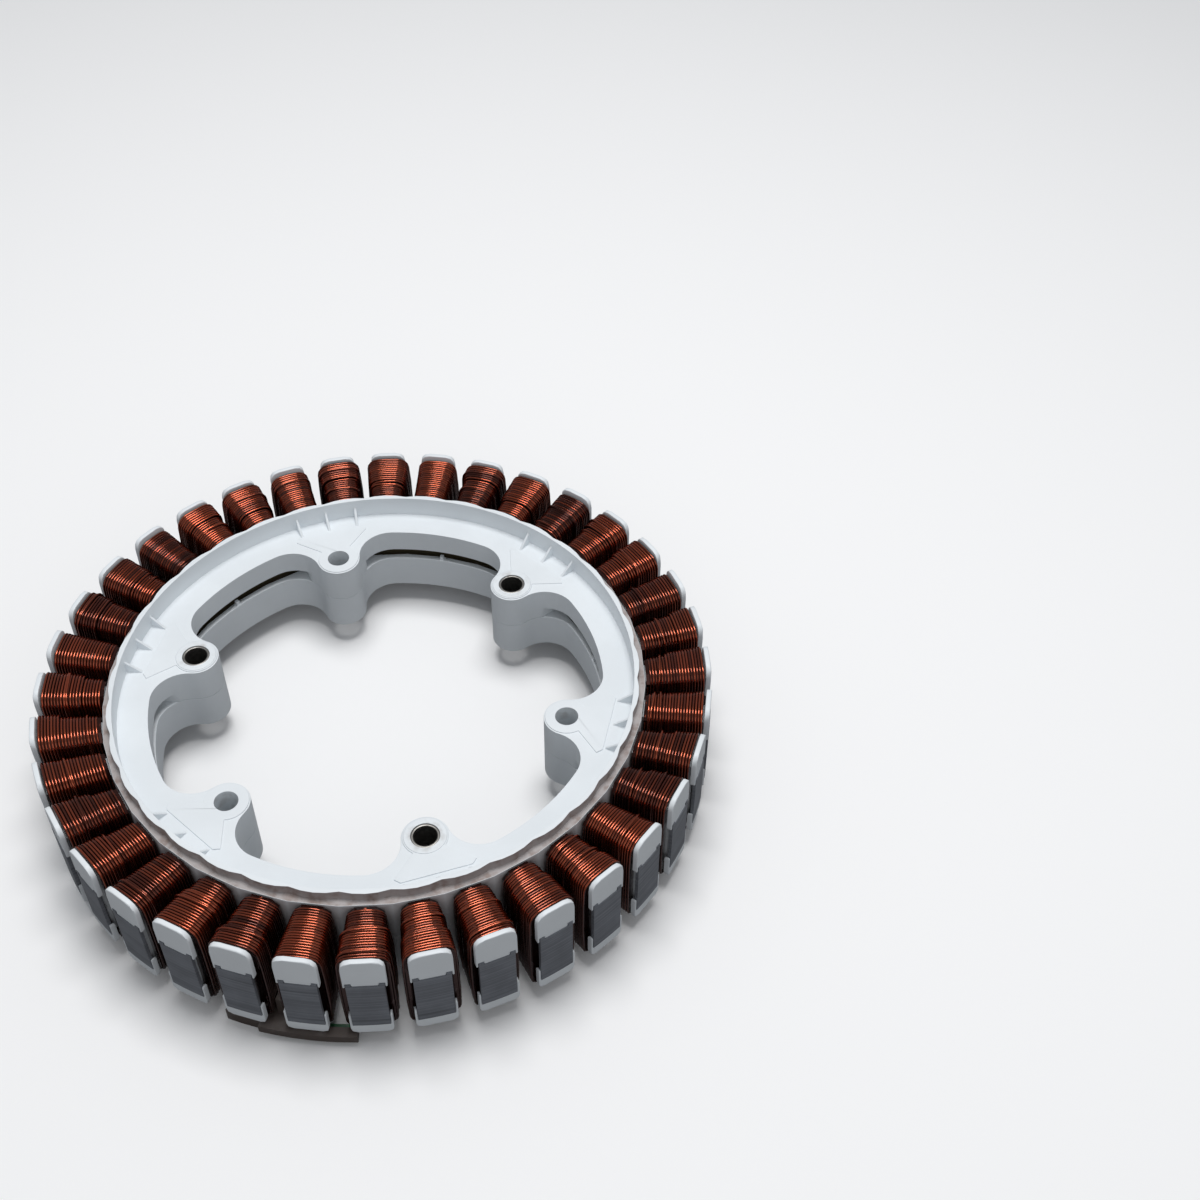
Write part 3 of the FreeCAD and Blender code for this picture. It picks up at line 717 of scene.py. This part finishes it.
class STATOR_OT_mould_insulators(bpy.types.Operator):
    """Trim both white mouldings, round their edges and give them their finish"""
    bl_idname = "stator.mould_insulators"
    bl_label = "Mould the insulators"

    def execute(self, context):
        look = context.scene.stator_moulding
        material = white_moulding()
        cap_back = CoilForm(coil_nodes()[0]).end
        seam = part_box("upper_insulator")[0].z

        def weight(place):
            """Share of the caps' rounding that an edge gets at a place."""
            if place.xy.length > cap_back:
                return 1.0
            at_seam = abs(place.z - seam) < look.plain_edge
            return (look.seam_edge if at_seam else look.plain_edge) / look.cap_edge

        for node in ("upper_insulator", "lower_insulator"):
            piece = merged_copy(node, node.replace("insulator", "moulding"))
            self.trim(piece, look, cap_back)
            rounded(piece, look.cap_edge, weight)
            self.soil_and_shade(piece)
            finished(piece, material, "white_moulding", node)
        return {"FINISHED"}

    def trim(self, piece, look, cap_back):
        """Cut the caps, their legs, the gussets and the slots down to what the photograph shows."""
        same_level = 0.00001
        changes = {
            look.leg_end: look.leg_trim,
            look.gusset_top: -look.gusset_trim,
            look.slot_ceiling: -look.slot_trim,
        }
        first = CoilForm(coil_nodes()[0]).angle
        step = 360.0 / len(coil_nodes())
        kept = 1 - look.cap_narrowing / (look.cap_half - look.tip_half)
        for vertex in piece.data.vertices:
            for level, change in changes.items():
                if abs(vertex.co.z - level) < same_level:
                    vertex.co.z += change
                    break
            if vertex.co.xy.length > cap_back:
                place = math.degrees(math.atan2(vertex.co.y, vertex.co.x))
                angle = first + step * round((place - first) / step)
                upright = turned_to(-angle) @ vertex.co
                over = abs(upright.y) - look.tip_half
                if over > 0:
                    upright.y = math.copysign(look.tip_half + over * kept, upright.y)
                    vertex.co = turned_to(angle) @ upright

    def soil_and_shade(self, piece):
        """Mark the grime round the sleeves, the painted shade inside the plain bores, and the painted shade
        and copper reflection on the ring's wall behind the coils.
        """
        bore_reach = 0.0046
        collar, clean = 0.0055, 0.0085
        wall_depth = 0.0035
        margin = 0.0001
        sleeves = [sum(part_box(name), Vector()) / 2 for name in sleeve_nodes()]
        plain_bores = [-sleeve for sleeve in sleeves]
        ring_wall = CoilForm(coil_nodes()[0]).start
        rim_top = max(vertex.co.z for vertex in piece.data.vertices if vertex.co.xy.length < ring_wall)
        dirt_and_bore_shade, shade_and_copper_reflection = [], []
        for vertex in piece.data.vertices:
            across = vertex.co.xy
            near = min((across - sleeve.xy).length for sleeve in sleeves)
            in_bore = min((across - bore.xy).length for bore in plain_bores) < bore_reach
            behind_coils = ring_wall - wall_depth < across.length < ring_wall + margin
            # Real grime round the sleeves; inside the plain bores the same mark is painted shade.
            dirt_and_bore_shade.append(0.35 if in_bore else 0.5 * (1 - smooth_step(near, collar, clean)))
            # Painted shade and copper reflection on the ring's wall behind the coils.
            shade_and_copper_reflection.append(0.9 if behind_coils and vertex.co.z < rim_top - margin else 0.0)
        for name, values in (("grime_and_bore_shade", dirt_and_bore_shade), ("shade_and_copper_reflection", shade_and_copper_reflection)):
            piece.data.attributes.new(name, "FLOAT", "POINT").data.foreach_set("value", values)


class STATOR_OT_stack_laminations(bpy.types.Operator):
    """Give the laminated core its stacked sheets"""
    bl_idname = "stator.stack_laminations"
    bl_label = "Stack the laminations"

    def execute(self, context):
        cover("laminated_core", lamination_stack())
        return {"FINISHED"}


class STATOR_OT_turn_sleeves(bpy.types.Operator):
    """Chamfer and finish the steel sleeves in the bosses"""
    bl_idname = "stator.turn_sleeves"
    bl_label = "Turn the sleeves"

    def execute(self, context):
        material = turned_steel()
        for node in sleeve_nodes():
            piece = merged_copy(node, node.replace("bolt_sleeve", "sleeve"))
            rounded(piece, context.scene.stator_steel.sleeve_edge)
            finished(piece, material, "sleeve_steel", node)
        return {"FINISHED"}


class STATOR_OT_fit_sensor(bpy.types.Operator):
    """Finish the position sensor: its housing, board, chips and pins"""
    bl_idname = "stator.fit_sensor"
    bl_label = "Fit the sensor"

    def execute(self, context):
        look = context.scene.stator_moulding
        housing = merged_copy("sensor_housing", "sensor_case")
        rounded(housing, look.plain_edge)
        brown = plain_moulding("brown_moulding", look.brown)
        finished(housing, brown, "brown_moulding", "sensor_housing")
        cover("sensor_board", solder_mask())
        cover("sensor_chips", plain_moulding("black_moulding", look.black, 0.4))
        cover("sensor_pins", tinned_metal())
        return {"FINISHED"}


class STATOR_OT_fit_terminals(bpy.types.Operator):
    """Finish the terminal block and the tabs of the three phases"""
    bl_idname = "stator.fit_terminals"
    bl_label = "Fit the terminals"

    def execute(self, context):
        block = merged_copy("terminal_block", "terminal_housing")
        rounded(block, context.scene.stator_moulding.plain_edge)
        finished(block, bpy.data.materials["white_moulding"], "white_moulding", "terminal_block")
        cover("phase_terminals", bpy.data.materials["tinned_brass"])
        return {"FINISHED"}


class STATOR_OT_set_stage(bpy.types.Operator):
    """Lay the floor, hang the lamps and stand the camera where the photograph was taken"""
    bl_idname = "stator.set_stage"
    bl_label = "Set the stage"

    def execute(self, context):
        look = context.scene.stator_stage
        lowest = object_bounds()[0].z
        deselect()
        bpy.ops.mesh.primitive_plane_add(size=30, location=(0, 0, lowest))
        floor = context.object
        floor.name = "floor"
        floor.data.materials.append(pale_floor())
        floor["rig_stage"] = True
        self.light_world()
        self.hang("overhead", place=(0.12, 0.15, 1.45), size=(0.75, 0.6), power=14.5)
        self.hang("front_fill", place=(0.0, -1.3, 0.8), size=(1.6, 1.0), power=2.6)
        self.stand_camera(look)
        return {"FINISHED"}

    def light_world(self):
        """A dim, even light for the part and a white background for the camera."""
        world = bpy.context.scene.world or bpy.data.worlds.new("World")
        bpy.context.scene.world = world
        world.use_nodes = True
        nodes, links = world.node_tree.nodes, world.node_tree.links
        ambient = nodes["Background"]
        ambient.inputs["Color"].default_value = (0.93, 0.96, 1.0, 1)
        ambient.inputs["Strength"].default_value = 0.3
        seen = nodes.new("ShaderNodeBackground")
        seen.inputs["Color"].default_value = (1, 1, 1, 1)
        path = nodes.new("ShaderNodeLightPath")
        mix = nodes.new("ShaderNodeMixShader")
        links.new(path.outputs["Is Camera Ray"], mix.inputs[0])
        links.new(ambient.outputs[0], mix.inputs[1])
        links.new(seen.outputs[0], mix.inputs[2])
        links.new(mix.outputs[0], nodes["World Output"].inputs["Surface"])

    def hang(self, name, place, size, power):
        """Hang a soft lamp that faces the middle of the part."""
        bpy.ops.object.light_add(type="AREA", location=place)
        lamp = bpy.context.object
        lamp.name = name
        lamp.rotation_euler = Vector(place).to_track_quat("Z", "Y").to_euler()
        lamp.data.shape = "RECTANGLE"
        lamp.data.size, lamp.data.size_y = size
        lamp.data.energy = power

    def stand_camera(self, look):
        """Stand the camera where the photograph was taken, looking the same way."""
        right = Vector(look.camera_right).normalized()
        forward = Vector(look.camera_forward).normalized()
        axes = Matrix((right, right.cross(forward), -forward)).transposed()
        bpy.ops.object.camera_add(location=look.camera_place, rotation=axes.to_euler())
        camera = bpy.context.object
        camera.data.lens = look.lens
        camera.data.sensor_width = 36.0
        camera.data.clip_start = 0.01
        bpy.context.scene.camera = camera
        bpy.context.scene.view_settings.view_transform = "Standard"


class STATOR_PT_panel(bpy.types.Panel):
    """Lists the steps in the order in which they dress the part"""
    bl_idname = "STATOR_PT_panel"
    bl_label = "Wound stator"
    bl_space_type = "VIEW_3D"
    bl_region_type = "UI"
    bl_category = "Stator"

    def draw(self, context):
        for step in STEPS:
            self.layout.operator(step.bl_idname)
        for group in SETTINGS:
            settings = getattr(context.scene, group)
            for name in settings.__annotations__:
                self.layout.prop(settings, name)


STEPS = (
    STATOR_OT_wind_coils,
    STATOR_OT_lay_crossovers,
    STATOR_OT_mould_insulators,
    STATOR_OT_stack_laminations,
    STATOR_OT_turn_sleeves,
    STATOR_OT_fit_sensor,
    STATOR_OT_fit_terminals,
    STATOR_OT_set_stage,
)
SETTINGS = {
    "stator_winding": WindingSettings,
    "stator_moulding": MouldingSettings,
    "stator_steel": SteelSettings,
    "stator_stage": StageSettings,
}


def register():
    for group in (*SETTINGS.values(), *STEPS, STATOR_PT_panel):
        bpy.utils.register_class(group)
    for name, group in SETTINGS.items():
        setattr(bpy.types.Scene, name, PointerProperty(type=group))


def unregister():
    for name in SETTINGS:
        delattr(bpy.types.Scene, name)
    for group in reversed((*SETTINGS.values(), *STEPS, STATOR_PT_panel)):
        bpy.utils.unregister_class(group)


def corners(box):
    return [list(corner) for corner in box]


def main():
    construction = corners(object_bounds())
    register()
    for step in STEPS:
        category, action = step.bl_idname.split(".")
        getattr(getattr(bpy.ops, category), action)()
    {"construction": construction, "dressed": corners(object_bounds())}


if __name__ == "__main__":
    main()
